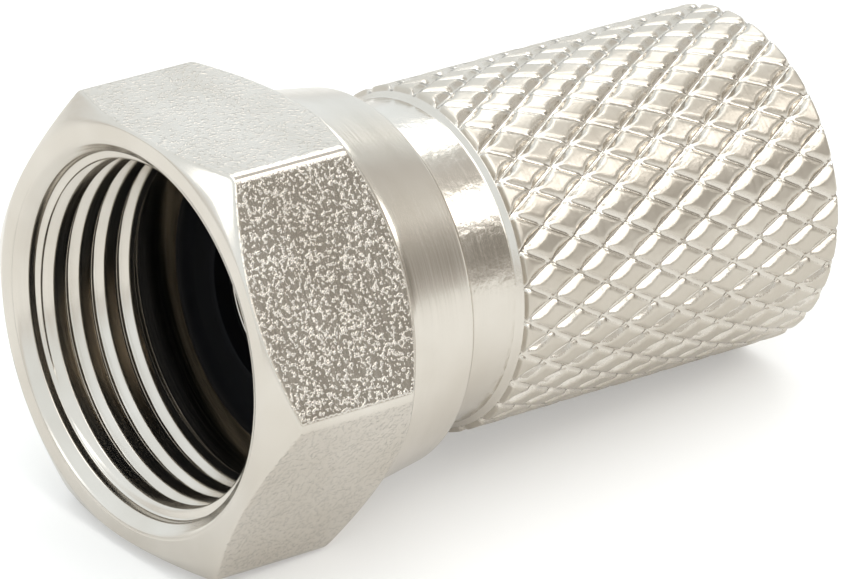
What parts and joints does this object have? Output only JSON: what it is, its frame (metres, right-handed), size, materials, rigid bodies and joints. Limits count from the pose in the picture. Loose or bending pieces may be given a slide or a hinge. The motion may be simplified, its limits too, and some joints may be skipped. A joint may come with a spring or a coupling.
{
  "type": "f connector",
  "caption": "Twist-on F connector with a spinning hexagonal coupling nut, a plain collar and a diamond-knurled sleeve that screws onto a coaxial cable.",
  "frame": {"origin": "on the connector's axis, in the plane of the nut's mouth, which is the face that meets the port", "axes": "+X runs along the axis from the nut's mouth to the cable entry, +Z is the outward normal of the nut's upper flat"},
  "size_m": [0.0194, 0.0126, 0.011],
  "materials": {
    "nut": "nickel plated, pebbled flats and smooth turned faces",
    "sleeve": "nickel plated, bright turned collar and diamond knurl",
    "post": "nickel plated, turned",
    "seal": "moulded black rubber"
  },
  "bodies": {
    "sleeve": {"knurled_sleeve": "sleeve", "inner_post": "post", "seal_ring": "seal"},
    "nut": {"coupling_nut": "nut"}
  },
  "joints": [
    {"name": "nut_spin", "type": "hinge", "parent": "sleeve", "child": "nut", "pos_m": [0, 0, 0], "axis": [1, 0, 0], "continuous": true}
  ]
}
